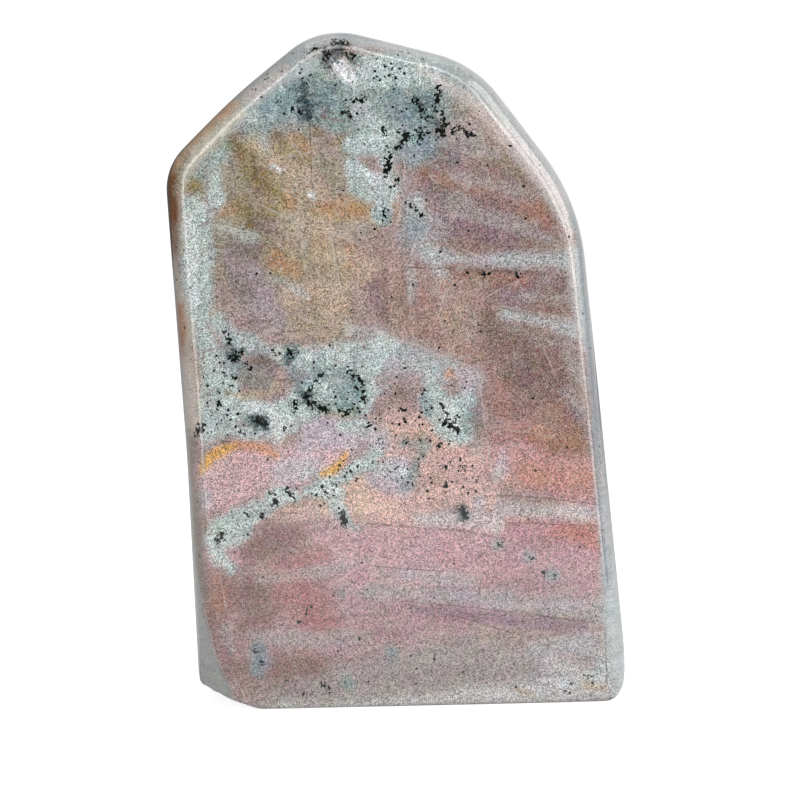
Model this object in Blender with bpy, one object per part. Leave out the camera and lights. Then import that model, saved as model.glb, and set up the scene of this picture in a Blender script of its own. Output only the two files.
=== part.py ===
"""A free-standing slab of polished labradorite: one stone, ground to a rounded outline on a flat sawn base.

Units are metres, +Z is up, the polished front looks along -Y, and the origin is the middle of the base.
"""

import math

import bmesh
import bpy
from mathutils import Vector

MM = 0.001

# The outline at the stone's widest, seen from the front, anticlockwise from the base's right end.
# Each corner: x, height, radius of its rounding, flats in that rounding.
# Each side that follows it: how far the front and the back face stand in from the widest line there.
OUTLINE = (
    ("base right end", 38.8, 0.0, 4.5, 5, "right side"),
    ("right side low", 38.6, 9.0, 60.0, 3, "right side"),
    ("right shoulder", 31.2, 86.8, 36.0, 9, "upper right side"),
    ("right crown", 13.1, 110.5, 20.0, 9, "top right side"),
    ("apex", -13.5, 117.1, 13.5, 12, "top left side"),
    ("top left middle", -28.5, 105.1, 100.0, 3, "top left side"),
    ("left shoulder", -40.7, 92.9, 10.0, 9, "left side"),
    ("left side middle", -37.6, 43.4, 300.0, 3, "left side"),
    ("left side foot", -36.1, 3.9, 2.0, 5, "undercut"),
    ("base left end", -25.6, 0.0, 4.0, 4, "base"),
)
SHOULDER_INSET = {
    "right side": 3.8 * MM,
    "upper right side": 4.6 * MM,
    "top right side": 3.6 * MM,
    "top left side": 3.8 * MM,
    "left side": 3.8 * MM,
    "undercut": 1.4 * MM,
    "base": 1.4 * MM,
}
SQUARE_SIDES = ("undercut", "base")
TIGHTEST_RADIUS = 0.8 * MM

# A wedge in thickness: the slab is thickest at its base, so that it stands.
THICKNESS_AT_BASE = 33.0 * MM
THICKNESS_AT_APEX = 24.0 * MM
APEX_HEIGHT = 116.0 * MM
FACE_CROWN = 0.7 * MM

# The side's section, from the widest line to a face, is a quarter of a superellipse.
SECTION_POWER = 5.0
SECTION_STEPS = 8
SQUARE_UNTIL = math.radians(56.0)
FACE_RINGS = (0.8, 0.55, 0.3)

# One flat ground across the lower left front edge, through three points on the surface.
FACET_POINTS = (
    Vector((-32.9, -16.3, 10.7)) * MM,
    Vector((-29.9, -16.3, 2.7)) * MM,
    Vector((-34.5, -12.0, 3.9)) * MM,
)


def clear_scene():
    """Removes whatever the file was opened with."""
    for obj in list(bpy.data.objects):
        bpy.data.objects.remove(obj)


def side_inset(side, swing):
    """How far a side stands in from its widest line at a swing of 0 (widest) to a right angle (face)."""
    if side in SQUARE_SIDES:
        swing = max(0.0, swing - SQUARE_UNTIL) / (math.pi / 2 - SQUARE_UNTIL) * math.pi / 2
    return SHOULDER_INSET[side] * (1.0 - math.cos(swing))


def moved_side(index, swing):
    """A point on a side of the outline and its direction, after the side is moved in."""
    here = OUTLINE[index]
    there = OUTLINE[(index + 1) % len(OUTLINE)]
    start = Vector((here[1], here[2])) * MM
    direction = (Vector((there[1], there[2])) * MM - start).normalized()
    inwards = Vector((-direction.y, direction.x))
    return start + inwards * side_inset(here[5], swing), direction


def crossing(first, second):
    """Where two sides, each a point and a direction, meet."""
    (a, u), (b, v) = first, second
    along = (b - a).cross(v) / u.cross(v)
    return a + u * along


def rounded_outline(swing):
    """The outline's points at one swing of the section, each corner rounded by an arc."""
    points = []
    for index, (_, _, _, radius, flats, _) in enumerate(OUTLINE):
        before = moved_side(index - 1, swing)
        after = moved_side(index, swing)
        corner = crossing(before, after)
        turn = before[1].angle_signed(after[1]) * -1.0
        inset = max(side_inset(OUTLINE[index - 1][5], swing), side_inset(OUTLINE[index][5], swing))
        # A hollow corner, where the outline turns the other way, is rounded from outside.
        radius = math.copysign(max(radius * MM - inset, TIGHTEST_RADIUS), turn)
        start = corner - before[1] * radius * math.tan(turn / 2)
        centre = start + Vector((-before[1].y, before[1].x)) * radius
        heading = math.atan2(before[1].y, before[1].x) - math.pi / 2
        for step in range(flats + 1):
            angle = heading + turn * step / flats
            points.append(centre + Vector((math.cos(angle), math.sin(angle))) * radius)
    return points


def half_thickness(height):
    """Half the slab's thickness at a height: it tapers evenly upwards."""
    share = height / APEX_HEIGHT
    return (THICKNESS_AT_BASE + (THICKNESS_AT_APEX - THICKNESS_AT_BASE) * share) / 2


def section_ring(swing, side):
    """One ring round the stone's edge. side is -1 towards the front and 1 towards the back."""
    depth = math.sin(abs(swing)) ** (2 / SECTION_POWER)
    return [Vector((p.x, side * depth * half_thickness(p.y), p.y)) for p in rounded_outline(abs(swing))]


def face_ring(share, side):
    """One ring on the crowned front or back face, its edge drawn in to a share of its size."""
    edge = rounded_outline(math.pi / 2)
    middle = sum(edge, Vector((0.0, 0.0))) / len(edge)
    crown = FACE_CROWN * (1.0 - share**2)
    ring = []
    for point in edge:
        p = middle + (point - middle) * share
        ring.append(Vector((p.x, side * (half_thickness(p.y) + crown), p.y)))
    return ring


def all_rings():
    """The rings in order from the middle of the front face, over the edge, to the middle of the back."""
    swings = [math.pi / 2 * step / SECTION_STEPS for step in range(SECTION_STEPS + 1)]
    front = [face_ring(share, -1) for share in reversed(FACE_RINGS)]
    front += [section_ring(swing, -1) for swing in reversed(swings)]
    back = [section_ring(swing, 1) for swing in swings[1:]]
    back += [face_ring(share, 1) for share in FACE_RINGS]
    return front + back


def grind_facet(mesh):
    """Cuts the flat on the lower left front edge, and closes the stone there again."""
    first, second, third = FACET_POINTS
    outwards = (second - first).cross(third - first).normalized()
    if outwards.y > 0:
        outwards.negate()
    cut = bmesh.ops.bisect_plane(
        mesh,
        geom=mesh.verts[:] + mesh.edges[:] + mesh.faces[:],
        dist=0.00001,
        plane_co=first,
        plane_no=outwards,
        clear_outer=True,
    )
    rim = [item for item in cut["geom_cut"] if isinstance(item, bmesh.types.BMEdge)]
    bmesh.ops.edgeloop_fill(mesh, edges=rim)


def stone_mesh():
    """The stone as one closed body, lofted ring by ring from the front to the back."""
    mesh = bmesh.new()
    rings = [[mesh.verts.new(point) for point in ring] for ring in all_rings()]
    for near, far in zip(rings, rings[1:]):
        for index in range(len(near)):
            mesh.faces.new((near[index - 1], near[index], far[index], far[index - 1]))
    mesh.faces.new(rings[0])
    mesh.faces.new(reversed(rings[-1]))
    grind_facet(mesh)
    bmesh.ops.recalc_face_normals(mesh, faces=mesh.faces[:])
    data = bpy.data.meshes.new("labradorite_stone")
    mesh.to_mesh(data)
    mesh.free()
    return data


def centred(data):
    """Moves the mesh so that its box stands centred on the origin."""
    xs = [vertex.co.x for vertex in data.vertices]
    ys = [vertex.co.y for vertex in data.vertices]
    lowest = min(vertex.co.z for vertex in data.vertices)
    middle = Vector(((min(xs) + max(xs)) / 2, (min(ys) + max(ys)) / 2, lowest))
    for vertex in data.vertices:
        vertex.co -= middle


def polished_labradorite():
    """Rose and grey polished feldspar."""
    material = bpy.data.materials.new("polished_labradorite")
    material.use_nodes = True
    shader = material.node_tree.nodes["Principled BSDF"]
    shader.inputs["Base Color"].default_value = (0.42, 0.30, 0.28, 1.0)
    shader.inputs["Roughness"].default_value = 0.18
    shader.inputs["Metallic"].default_value = 0.0
    return material


def main():
    clear_scene()
    collection = bpy.data.collections.new("polished_labradorite")
    bpy.context.scene.collection.children.link(collection)
    data = stone_mesh()
    centred(data)
    data.materials.append(polished_labradorite())
    data.shade_smooth()
    data.set_sharp_from_angle(angle=math.radians(30.0))
    collection.objects.link(bpy.data.objects.new("labradorite_stone", data))


main()
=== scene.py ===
"""The looks of a polished labradorite slab: its skin, its minerals and the soft light it is shown in.

Lengths are millimetres in the tables and metres in Blender. The polished front looks along -Y. A name that
ends in RAMP holds two values and what a result is at each: 0 and 1 where that isn't said.
"""

import math

import bpy
import numpy as np
from mathutils import Matrix, Vector


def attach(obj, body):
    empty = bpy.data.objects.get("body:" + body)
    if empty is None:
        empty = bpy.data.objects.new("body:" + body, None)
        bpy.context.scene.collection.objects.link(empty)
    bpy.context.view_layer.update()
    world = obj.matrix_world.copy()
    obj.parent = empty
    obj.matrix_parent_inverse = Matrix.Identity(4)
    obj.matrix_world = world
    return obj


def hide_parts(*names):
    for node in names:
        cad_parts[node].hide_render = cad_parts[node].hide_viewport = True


MM = 0.001

# The camera: a long lens, a little from the left and from above, rolled by half a degree.
CAMERA_DISTANCE = 394.0 * MM
CAMERA_AZIMUTH = math.radians(-4.0)
CAMERA_ELEVATION = math.radians(4.0)
CAMERA_ROLL = math.radians(-0.5)
CAMERA_TARGET = Vector((0.95, 0.0, 51.75)) * MM
CAMERA_LENS = 100.0
SENSOR_WIDTH = 36.0

# The floor's width in metres, and how bright the floor and the backdrop look to the camera.
FLOOR_WIDTH = 6.0
FLOOR_GLOW = 0.85
FLOOR_ROUGHNESS = 0.9
BACKDROP_LIGHT = 1.1
# The room as the stone mirrors it, by the way one looks: dim in front and bright behind, and little of it
# left at the lower left, where x and a share of z are low.
ROOM_DEPTH_RAMP = (-0.3, 0.5, 0.06, 0.72)
ROOM_SLANT = 0.75
ROOM_LEFT_RAMP = (-0.15, 0.35, 0.12, 1.0)
# The arch of boxes round the camera: how far off the front's line, and its reach from the right over the top.
SLAB_MIDDLE = Vector((0.0, 0.0, 0.055))
LIGHT_REACH = 0.55
ARCH_OFF_AXIS = math.radians(38.0)
ARCH_WIDTH = math.radians(18.0)
ARCH_SPAN = (math.radians(-15.0), math.radians(195.0))
ARCH_BOXES = 7
ARCH_RADIANCE = 2.4
# The larger boxes: degrees off the front's line and round it, width and height in metres, radiance.
BOXES = {
    "upper_right_box": (70.0, 35.0, 0.34, 0.34, 2.5),
    "right_box": (75.0, 0.0, 0.24, 0.34, 0.9),
    "overhead_box": (92.0, 90.0, 0.50, 0.50, 0.6),
}

# The blank: how close two points are welded, how flat and how skewed a pair of triangles makes a square, what
# counts as a ground corner, and how often the rest is rounded.
WELD = 0.002 * MM
SQUARE_FLATNESS = math.radians(8.0)
SQUARE_SKEW = math.radians(70.0)
SHARP_CORNER = math.radians(38.0)
ROUNDINGS = 3
# The skin: an even net of squares, drawn tighter on the front, where the markings are read, then evened out.
NET = 1.02 * MM
FRONT_CUTS = 2
FRONT_FACING = -0.30
EVENING = 0.5
EVENING_ROUNDS = 2

# The front face leans back a little. Its y at a height z is -(FACE_AT_BASE - FACE_LEAN * z).
FACE_AT_BASE = 16.8
FACE_LEAN = 0.0388
# Minerals run on through the slab at a slant: how far they shift in x and in height per millimetre of depth.
SLANT_X = 0.25
SLANT_Z = 0.45
# How much of the depth counts against a stroke: a pocket reaches further into the slab than it is wide.
POCKET_DEPTH = 0.42
FAR_AWAY = 60.0
# The square of a length that counts as none.
NO_LENGTH = 1e-9

# Each mineral: its colour on a screen, its strength, how far its edge wanders, how far it crumbles and how
# soft it is in millimetres, and its strokes. A stroke is a run of points: x, height and half width. The
# minerals lie on each other in this order, the broad ones first.
BROAD = {
    "olive_ground": ((164, 152, 130), 1.0, 1.5, 0.8, 3.0, [
        [(-36, 92, 4), (-26, 92, 8), (-16, 90, 7), (-10, 84, 4)], [(-26, 80, 8), (-16, 78, 7), (-8, 74, 3)],
    ]),
    "pink": ((202, 161, 167), 1.0, 3.0, 0.5, 3.5, [[(-34, 24, 7), (-10, 25, 7), (15, 25, 7), (36, 26, 7)]]),
    "dusky_pink": ((182, 146, 151), 1.0, 3.0, 0.6, 3.0, [
        [(-34, 20, 4), (-18, 18, 5), (0, 15, 5), (20, 20, 3), (36, 20, 3)], [(-34, 12, 4), (-10, 11, 4)],
    ]),
    "grey_pink": ((168, 157, 155), 1.0, 3.0, 0.8, 2.6, [
        [(-20, 2, 3), (-10, 4, 4), (5, 6, 5), (20, 6, 5), (34, 4, 5)],
    ]),
    "rose_brown": ((150, 122, 116), 1.0, 3.0, 0.8, 2.6, [
        [(6, 91, 3.5), (12, 88, 5), (20, 86, 6.5), (27, 82, 4)], [(12, 81, 4), (22, 80, 5)],
        [(18, 70, 4.5), (27, 70, 4.5)], [(17, 64, 3), (23, 60, 7), (29, 58, 4)], [(19, 53, 4), (28, 52, 5)],
        [(31, 46, 2)],
    ]),
    "tan": ((182, 164, 142), 1.0, 4.0, 1.0, 2.6, [
        [(-20, 94, 5), (-18, 86, 6), (-12, 80, 5), (-10, 72, 5), (-12, 66, 4)], [(-20, 68, 4), (-18, 65, 2)],
        [(-6, 85, 3)],
    ]),
    "salmon_tan": ((179, 149, 138), 1.0, 3.0, 1.0, 2.4, [
        [(-7, 77, 3.5), (-2, 72, 5), (2, 68, 5), (6, 66, 5), (9, 70, 5)], [(7, 62, 3), (12, 60, 2)],
    ]),
    "lilac": ((220, 184, 188), 1.0, 2.0, 0.8, 1.8, [
        [(-34, 38, 4.5), (-26, 41, 4.5), (-18, 42, 4), (-12, 44, 3)],
    ]),
    "salmon": ((222, 184, 175), 1.0, 2.5, 1.0, 1.8, [
        [(-8, 37, 3.5), (-4, 36, 3), (2, 35, 2.5), (8, 37, 3), (13, 36, 3.5)],
        [(0, 42, 4), (6, 43, 5), (12, 42, 4)], [(0, 48, 3), (4, 47, 3)],
    ]),
    "coral": ((206, 159, 155), 1.0, 2.0, 0.8, 1.8, [
        [(18, 42, 4), (25, 41, 5), (32, 38, 4)], [(17, 46, 2.2), (24, 46, 2.5)], [(20, 31, 2), (32, 30, 2)],
    ]),
    "red_coral": ((202, 147, 132), 0.85, 2.0, 0.8, 1.8, [
        [(22, 39.5, 1.8), (31, 38.6, 2)], [(17.4, 54, 0.8), (17.8, 50.2, 0.9)],
        [(22, 29.4, 1.2), (33, 28.4, 1.2)],
    ]),
    "grey_green": ((150, 164, 160), 1.0, 4.0, 1.2, 2.4, [
        [(-35, 97, 1), (-26, 102, 4), (-16, 104, 6), (-6, 104, 7), (4, 104, 6), (10, 106, 5)],
        [(-6, 97, 4), (2, 97, 4)], [(-33, 92, 2), (-29, 97, 2)],
    ]),
}

# Patches and pockets on the front.
POCKETS = {
    "red_brown": ((138, 101, 93), 0.85, 2.6, 0.8, 2.4, [
        [(-26, 27.5, 2.6), (-22, 28.6, 3.8), (-18, 29.4, 2.4)],
        [(-29, 21, 4), (-24, 19, 3.4), (-26, 15, 2.6)], [(-32.4, 17, 1.6), (-30.6, 12, 2.2), (-29.6, 9, 2)],
        [(-28.8, 8, 2.6), (-26, 7, 2)], [(-21, 7.6, 2.8), (-15, 7.8, 1.8)],
    ]),
    "rose_red": ((170, 113, 110), 0.85, 2.0, 0.8, 2.0, [
        [(-20, 22, 2.8), (-16.6, 19, 3.6), (-14, 15.4, 3)], [(-18.6, 25, 1.2), (-14, 26.6, 1)],
    ]),
    "peach": ((228, 194, 180), 0.8, 1.6, 0.8, 1.6, [
        [(-8.6, 37.4, 1.8), (-6, 34.8, 2.4), (-2.4, 33.4, 1.6)],
        [(-21, 34, 1.2), (-17.4, 34.2, 1.8), (-13, 34.2, 1.6)], [(-12.2, 40.2, 1.1)], [(-18.4, 33.4, 1.2)],
    ]),
    "mauve": ((146, 117, 126), 0.85, 2.0, 0.8, 1.6, [
        [(7.6, 83, 1.4), (13, 82, 2.2), (19.4, 80.8, 2)], [(-4, 72, 1.5), (-3, 67, 1.2)],
        [(19, 70, 2), (24, 71, 2)], [(14, 84, 1.5), (18, 83, 1)],
    ]),
    "rose": ((166, 130, 122), 0.8, 2.0, 0.8, 1.8, [
        [(13, 89, 1.2), (19, 88.2, 1.4)], [(-2.4, 74, 0.8), (-2.5, 65, 0.9)],
        [(4.4, 71.4, 0.8), (4.3, 66, 0.9)], [(25, 67, 2), (30, 62, 1.5)], [(3, 70, 2), (5, 65, 2)],
        [(10.4, 102.6, 1.1), (12.6, 102, 1)], [(0, 54.2, 0.6), (1, 51.8, 0.1)],
        [(14.4, 70, 1), (14.8, 60, 1.2), (15.5, 52, 1)], [(20, 51, 1.6), (26, 50, 2)],
        [(17.2, 54.4, 1.2), (17.6, 50, 1.4)], [(17.4, 46.8, 1.4), (13, 46.4, 0.8)],
    ]),
    "deep_pink": ((190, 144, 152), 0.85, 2.4, 0.8, 2.0, [
        [(18, 29, 2.6), (26, 28.6, 3.6), (33, 27, 2.4)], [(8, 25.5, 1.4), (20, 24.5, 1.6)],
    ]),
    "coral_red": ((198, 128, 118), 0.75, 2.0, 0.8, 1.6, [
        [(27, 30.2, 0.9), (31, 29.2, 1.6), (33.4, 27.2, 1.2)], [(11, 15.8, 0.8), (6, 17, 0.6)],
    ]),
    "umber": ((140, 111, 105), 0.85, 2.0, 0.8, 1.4, [
        [(16, 66, 2), (18, 62, 3), (22, 58.5, 4.2), (25.4, 55.4, 2.8)],
        [(14, 93, 1.2), (18, 93, 2), (22, 92, 1.5)], [(15.4, 66.6, 1.4), (17, 63.2, 1.3)],
        [(9, 74.6, 0.3), (15, 74, 0.8), (20, 74.2, 0.5), (24, 74, 0.3)], [(-27, 75, 1.5), (-24, 79, 1.2)],
    ]),
    "rust": ((170, 124, 106), 0.86, 2.0, 1.0, 1.4, [
        [(4.4, 92.4, 1), (6.4, 92.4, 1.4), (8.4, 89.8, 1)],
        [(22.4, 86.6, 1.2), (24, 84.8, 1.8), (26.2, 82, 1.3)],
        [(9.6, 74.8, 0.7), (15, 73.8, 1.1), (21, 73, 0.9)],
        [(28, 49, 1.3), (30, 45, 1.8), (26, 44.8, 1.7), (21, 46.8, 1)], [(-31.8, 24, 1.3), (-31.4, 18, 1.4)],
    ]),
    "orange": ((188, 145, 100), 0.85, 2.5, 1.0, 1.4, [
        [(-20.4, 79, 1.4), (-21.2, 76.6, 1.8), (-18, 75, 1.2)],
        [(-12.6, 85.4, 1.2), (-8.4, 85.6, 1.5), (-6, 84.8, 0.9)], [(-8.4, 78.4, 1.4), (-8.2, 76, 1.3)],
        [(-0.4, 86.2, 0.7), (-0.2, 84.8, 0.8)], [(-13.6, 79.6, 0.9), (-12.6, 76, 0.9)],
        [(-18.8, 87.6, 1), (-18.4, 86, 0.8)], [(-17.4, 97.2, 1.3), (-16.4, 95.6, 1.4)],
        [(-28.8, 85.2, 0.9), (-26.4, 85.6, 0.8)], [(2.4, 46, 0.8)],
    ]),
    "olive_brown": ((156, 138, 118), 0.85, 2.0, 0.8, 1.6, [
        [(13.6, 95.4, 1.3), (17.4, 94, 1.7), (20.6, 92.2, 1.4)], [(11, 97.4, 1.3), (13.4, 96, 1.4)],
    ]),
    "gold": ((148, 129, 88), 0.85, 2.6, 1.2, 1.1, [
        [(-31.6, 97.4, 0.8), (-30.6, 96.4, 0.9)], [(-27.6, 97, 1.2), (-26.2, 94.6, 1.5), (-23.6, 94.4, 1.2)],
        [(-20.6, 97.8, 1), (-19.2, 94.6, 2), (-16.8, 93.4, 1.6)],
        [(-25.4, 91.6, 1.6), (-23.4, 90, 2.4), (-21, 88.4, 1.6)], [(-34.6, 89.2, 1.2), (-34, 87.8, 1.4)],
        [(-26.4, 86.4, 1.6), (-24.6, 83.6, 1.6), (-22, 85.4, 1.4)], [(-14, 98.8, 1.3), (-12.8, 97.6, 1)],
        [(-9.6, 96.6, 1.2), (-8.4, 95.2, 1.2)],
    ]),
    "olive_core": ((120, 97, 52), 0.75, 1.6, 1.0, 1.0, [
        [(-24.2, 91, 1.2), (-23, 89.6, 1.2)], [(-20.8, 97.7, 0.7)], [(-26.9, 95.4, 0.8)],
        [(-34.4, 88.7, 0.7)], [(-13.4, 98.6, 0.7)], [(-25, 82.6, 1)], [(-20.4, 78.6, 0.5)],
    ]),
    "light_tan": ((205, 180, 157), 0.8, 2.0, 0.9, 1.6, [
        [(-24, 96.4, 0.8), (-15, 90.6, 1.2), (-13, 88.6, 1.2)],
        [(-18.8, 70.6, 1.8), (-15, 71.6, 1.8), (-11.6, 71, 2.4), (-11, 67.4, 1.8)],
        [(-12.4, 77.4, 1.6), (-7, 77.4, 1.2), (-5.6, 75.2, 1.8)], [(-16, 82, 1.4), (-13, 82.4, 1.2)],
    ]),
    "lavender": ((170, 156, 160), 0.9, 2.0, 0.8, 1.5, [
        [(-28, 77.4, 1.5), (-26, 74, 3.2), (-24, 70, 3.6), (-21, 66, 2)],
    ]),
    "dark_taupe": ((126, 112, 106), 0.7, 2.0, 1.0, 1.2, [
        [(-28.6, 80, 0.8), (-26.6, 78.6, 1.6), (-23.8, 77.6, 0.8)], [(-28.4, 73.6, 0.8), (-26.2, 71.2, 0.9)],
        [(-24, 83.4, 1), (-21.6, 82.4, 0.8)],
    ]),
    "lilac_grey": ((208, 198, 208), 0.85, 2.0, 0.9, 1.4, [
        [(-16, 45, 2), (-15, 48, 2.5), (-9, 47, 3), (-4, 46, 2)], [(6.5, 55.5, 1.6), (4, 57, 1)],
        [(12, 56.5, 1.2), (11.4, 54, 0.9)], [(13.2, 34.8, 0.9)],
        [(27, 9.4, 0.5), (32, 10, 0.9)], [(-34, 36, 1.8)], [(17.6, 43.6, 0.7), (16.5, 40, 0.9)],
        [(12.6, 55.6, 1.4), (11.6, 53.4, 1)], [(-4, 40, 2), (0, 38, 1.6)],
        [(-20, 40.8, 2.2), (-15.4, 41.8, 2.2)], [(-0.4, 41.4, 1.9), (0.4, 39.4, 1.6)],
    ]),
    "dusk": ((122, 120, 124), 0.7, 2.0, 1.2, 1.4, [
        [(5, 95.4, 1.6), (8.4, 94.4, 1.6), (11.6, 95.6, 1.2)], [(5.6, 88, 1.2), (7.6, 87.2, 1.2)],
        [(11.8, 45.4, 1.1), (12.9, 47.6, 0.8), (13.2, 50, 0.8)], [(5.6, 94.8, 1.3), (6.6, 92.6, 0.8)],
    ]),
    "cream": ((208, 197, 199), 0.8, 1.2, 0.8, 1.0, [
        [(3, 32.6, 0.9), (9, 32.4, 1.4), (16, 31.6, 1.7)], [(17, 34, 1.3), (25, 33.4, 1.2), (34, 32.6, 1)],
    ]),
    "pale_grey": ((180, 176, 180), 0.72, 1.6, 1.1, 1.5, [
        [(-3, 62, 2.2), (3, 60.5, 2), (9, 58, 1.2), (-1, 58, 1.6), (-3.4, 57, 1.2)],
        [(3, 78, 1.4), (6, 77.2, 1.3), (12, 76.3, 0.7), (20, 76.2, 1.3), (30, 76.4, 1.6)],
        [(25, 75, 0.7), (25.2, 73, 0.4)], [(28.4, 70.2, 0.4), (31.6, 69, 0.9)],
        [(23, 9.8, 1.2), (31, 10.4, 2)], [(-3.4, 55.2, 1.2)], [(4.6, 55, 0.8)], [(2, 85, 2), (6, 82, 2.2)],
        [(-6, 20.3, 0.8), (5, 19.6, 1.4), (15, 18.2, 1.6), (25, 17, 1.8), (37, 15.8, 2)],
        [(-4, 23.5, 0.9), (5, 22.5, 1.3), (12, 21.5, 0.9)], [(13, 45, 1.2)], [(1, 90, 1)],
    ]),
    # Painted light: a pale band on the rounded foot, lifting the shade where the base edge meets the floor.
    "painted_foot_light": ((212, 211, 210), 0.85, 1.4, 0.9, 1.6, [
        [(-32, 0.8, 0.7), (-28, 0.3, 0.6), (-12, 0.6, 0.9), (0, 0.9, 1.3), (12, 1.2, 2), (24, 2.4, 2.4)],
        [(24, 2.4, 2.4), (33, 3.2, 2.8)], [(33, 3.2, 2.8), (36, 6.4, 1.8)],
        [(37, 2.4, 1.6), (38.6, 0.8, 1.6)], [(25.4, 6.8, 1), (30, 5.6, 1)],
    ]),
    "haze": ((180, 174, 172), 0.55, 1.2, 0.8, 1.0, [
        [(-26, 12.8, 1), (-16, 12, 1.4), (-6, 12.6, 0.8)],
        [(-24, 22.4, 0.7), (-14, 23.6, 0.8), (-6, 25.6, 0.6)], [(-30.4, 13.6, 1.2), (-29.8, 11.6, 0.9)],
        [(9, 91, 0.8), (15, 89.6, 1), (23, 87.4, 1)], [(9, 97.6, 1.6), (13.6, 97, 1.2)],
        [(10, 86, 2.2), (14, 84.2, 1.6), (20, 82.4, 1), (27, 79.4, 0.9)],
        [(17.6, 67.4, 0.6), (23, 66.4, 0.9), (29.8, 64.8, 1.3)],
        [(19, 64.8, 0.3), (24, 63.2, 0.2), (30, 61.2, 0.7)], [(-6.4, 82, 1.1)], [(12.6, 99.8, 0.8)],
        [(23.4, 82.4, 0.7)], [(21, 70.4, 0.5), (28, 69.6, 0.7)], [(29, 53.6, 1), (31, 50.4, 1)],
        [(12, 95.4, 1.2), (17, 94.8, 0.9)], [(28.8, 60.4, 1), (31, 56.4, 1)],
    ]),
    "mist": ((194, 203, 205), 0.64, 1.6, 1.2, 1.1, [
        [(-30.1, 95.6, 0.8), (-31.6, 90.4, 0.8), (-31.9, 87, 1), (-33.3, 82.8, 1.2)],
        [(-22.6, 97.8, 0.6), (-22.4, 95.6, 0.7)], [(-17.5, 83.4, 0.6), (-16.8, 82, 0.7)],
        [(-30.6, 82.2, 1), (-27.4, 81.8, 0.9), (-24.6, 80.6, 0.6)],
        [(-21.4, 73.6, 0.4), (-18.6, 72.4, 0.5), (-15.8, 70.6, 0.3)],
        [(3, 86.4, 1.6), (3, 83.6, 1.5), (3.6, 80.4, 1.2), (5.6, 77.4, 1.5), (7.6, 73.8, 0.8)],
        [(-1, 60.6, 2.2), (3.6, 59, 2), (8.4, 57.2, 1.4)],
        [(-10.8, 34.2, 1.8), (-12.6, 40.4, 0.8), (-16, 40.4, 1)], [(11.6, 52.8, 1)],
        [(-7, 105.8, 1.2), (-4.6, 106.4, 1)], [(0.4, 40.2, 1.4), (-4, 41.4, 1.4)], [(-30.4, 48, 1.6)],
        [(-25.4, 52.2, 1.1), (-21, 52, 1)], [(-8.4, 64.6, 1), (-3.4, 64.2, 1.3)],
        [(34.6, 5, 2), (35.6, 10, 1)], [(27.6, 3.8, 0.8)], [(1.9, 75.4, 0.5), (2, 69.8, 0.4)],
        [(-6, 102, 2), (-4, 99.4, 2), (2, 99.4, 1)],
        [(8, 77.2, 0.9), (13, 76.6, 0.2), (18, 76.6, 0.9), (24, 76.4, 1.3), (29.4, 76.6, 1.4)],
        [(18.4, 67.2, 0.5), (24, 65.9, 0.9), (30, 64.2, 1.1)], [(-25.8, 101.4, 1.6), (-21, 102, 1)],
        [(-23.6, 104, 1.2), (-17.8, 108.6, 1.4), (-13.4, 110.4, 1)],
    ]),
    "blue_grey": ((148, 160, 170), 0.75, 1.6, 0.9, 1.4, [
        [(-0.5, 103.4, 2.4), (1.6, 101, 1.6)], [(-24.7, 10.3, 1.2), (-24.7, 8.6, 1.5), (-25.2, 7.2, 1)],
        [(0.5, 95.4, 1.4), (2.4, 93.8, 1.8), (6.4, 96.8, 1.8)], [(3.5, 83.6, 1.4), (2, 80.6, 1.6)],
    ]),
    "magenta": ((150, 118, 137), 0.8, 0.8, 0.5, 0.9, [
        [(2, 17, 0.8), (10, 16, 1.2), (18, 14.8, 1.2), (26, 13.8, 1.3), (31, 13.6, 0.9)],
    ]),
    "ice": ((196, 210, 208), 0.92, 2.2, 1.4, 0.9, [
        # The first stroke, up the left shoulder, is partly a painted highlight.
        [(-35, 87, 1.5), (-34.5, 80, 3.2), (-34.5, 73, 3), (-34, 66, 1.8), (-33.5, 60, 1.5)],
        [(-31, 91, 1), (-30.5, 87, 1)], [(-8, 93, 1.6), (-5.6, 90, 2.8), (-2, 88, 2.2), (-3, 84, 1.2)],
        [(-3, 95.4, 1.8), (-1.6, 92, 1.9), (-2.6, 88.4, 1.6)], [(-31, 66.4, 1.8), (-29.4, 63.6, 1.8)],
        [(-8, 96, 1.5), (-4, 96, 2), (-1, 98, 1.5)], [(-5, 108.5, 3.2), (0, 108.5, 3.2), (5, 108.6, 2.8)],
        [(-10, 48.6, 0.9), (-7, 48.2, 1)], [(-33, 64, 2), (-31, 58, 3), (-31, 52, 3.5), (-32, 48, 2)],
        [(-28, 63, 1.6), (-22, 61.4, 1.3), (-14, 59, 2.8), (-6, 60, 3.3), (-3, 62, 2)],
        [(-25.4, 51.8, 1.1), (-22, 51.6, 1)], [(-32.6, 46.6, 1.2), (-29.4, 47.6, 1.2), (-25, 47.3, 1)],
        [(12, 52.6, 0.8)], [(-5.4, 58, 1.4)], [(-27, 50, 3), (-20, 49.5, 3), (-14, 54, 3.5), (-8, 54, 4)],
        [(5, 57, 1), (5.6, 53, 2.4), (8.5, 50, 3.4), (10.4, 47.2, 2.4)],
        [(-22.9, 34.6, 0.9), (-24.7, 34.1, 1.9), (-27.9, 32.3, 2.4), (-31.2, 30.8, 2.2)],
        [(-31.8, 29.4, 2.4), (-30.9, 26.4, 1.9), (-29.2, 24.6, 1)], [(-29.8, 29.4, 2.2), (-27.4, 31.2, 2.2)],
        [(-21.7, 36.4, 1.6), (-20.2, 37, 1.4), (-18.2, 36.7, 0.9)],
        [(-16, 37.4, 1), (-13.3, 38.2, 1.8), (-11.6, 37.2, 1.6)],
        [(-11.2, 36, 0.9), (-10.2, 33.4, 0.8), (-9.2, 31.9, 0.6), (-8, 31.1, 0.4)],
        [(-10.5, 39.3, 0.7), (-8.3, 41, 1.1), (-6, 42.2, 1.3), (-4.6, 43.8, 1.1)],
    ]),
    "taupe": ((152, 150, 144), 0.9, 1.6, 0.8, 1.0, [
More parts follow.
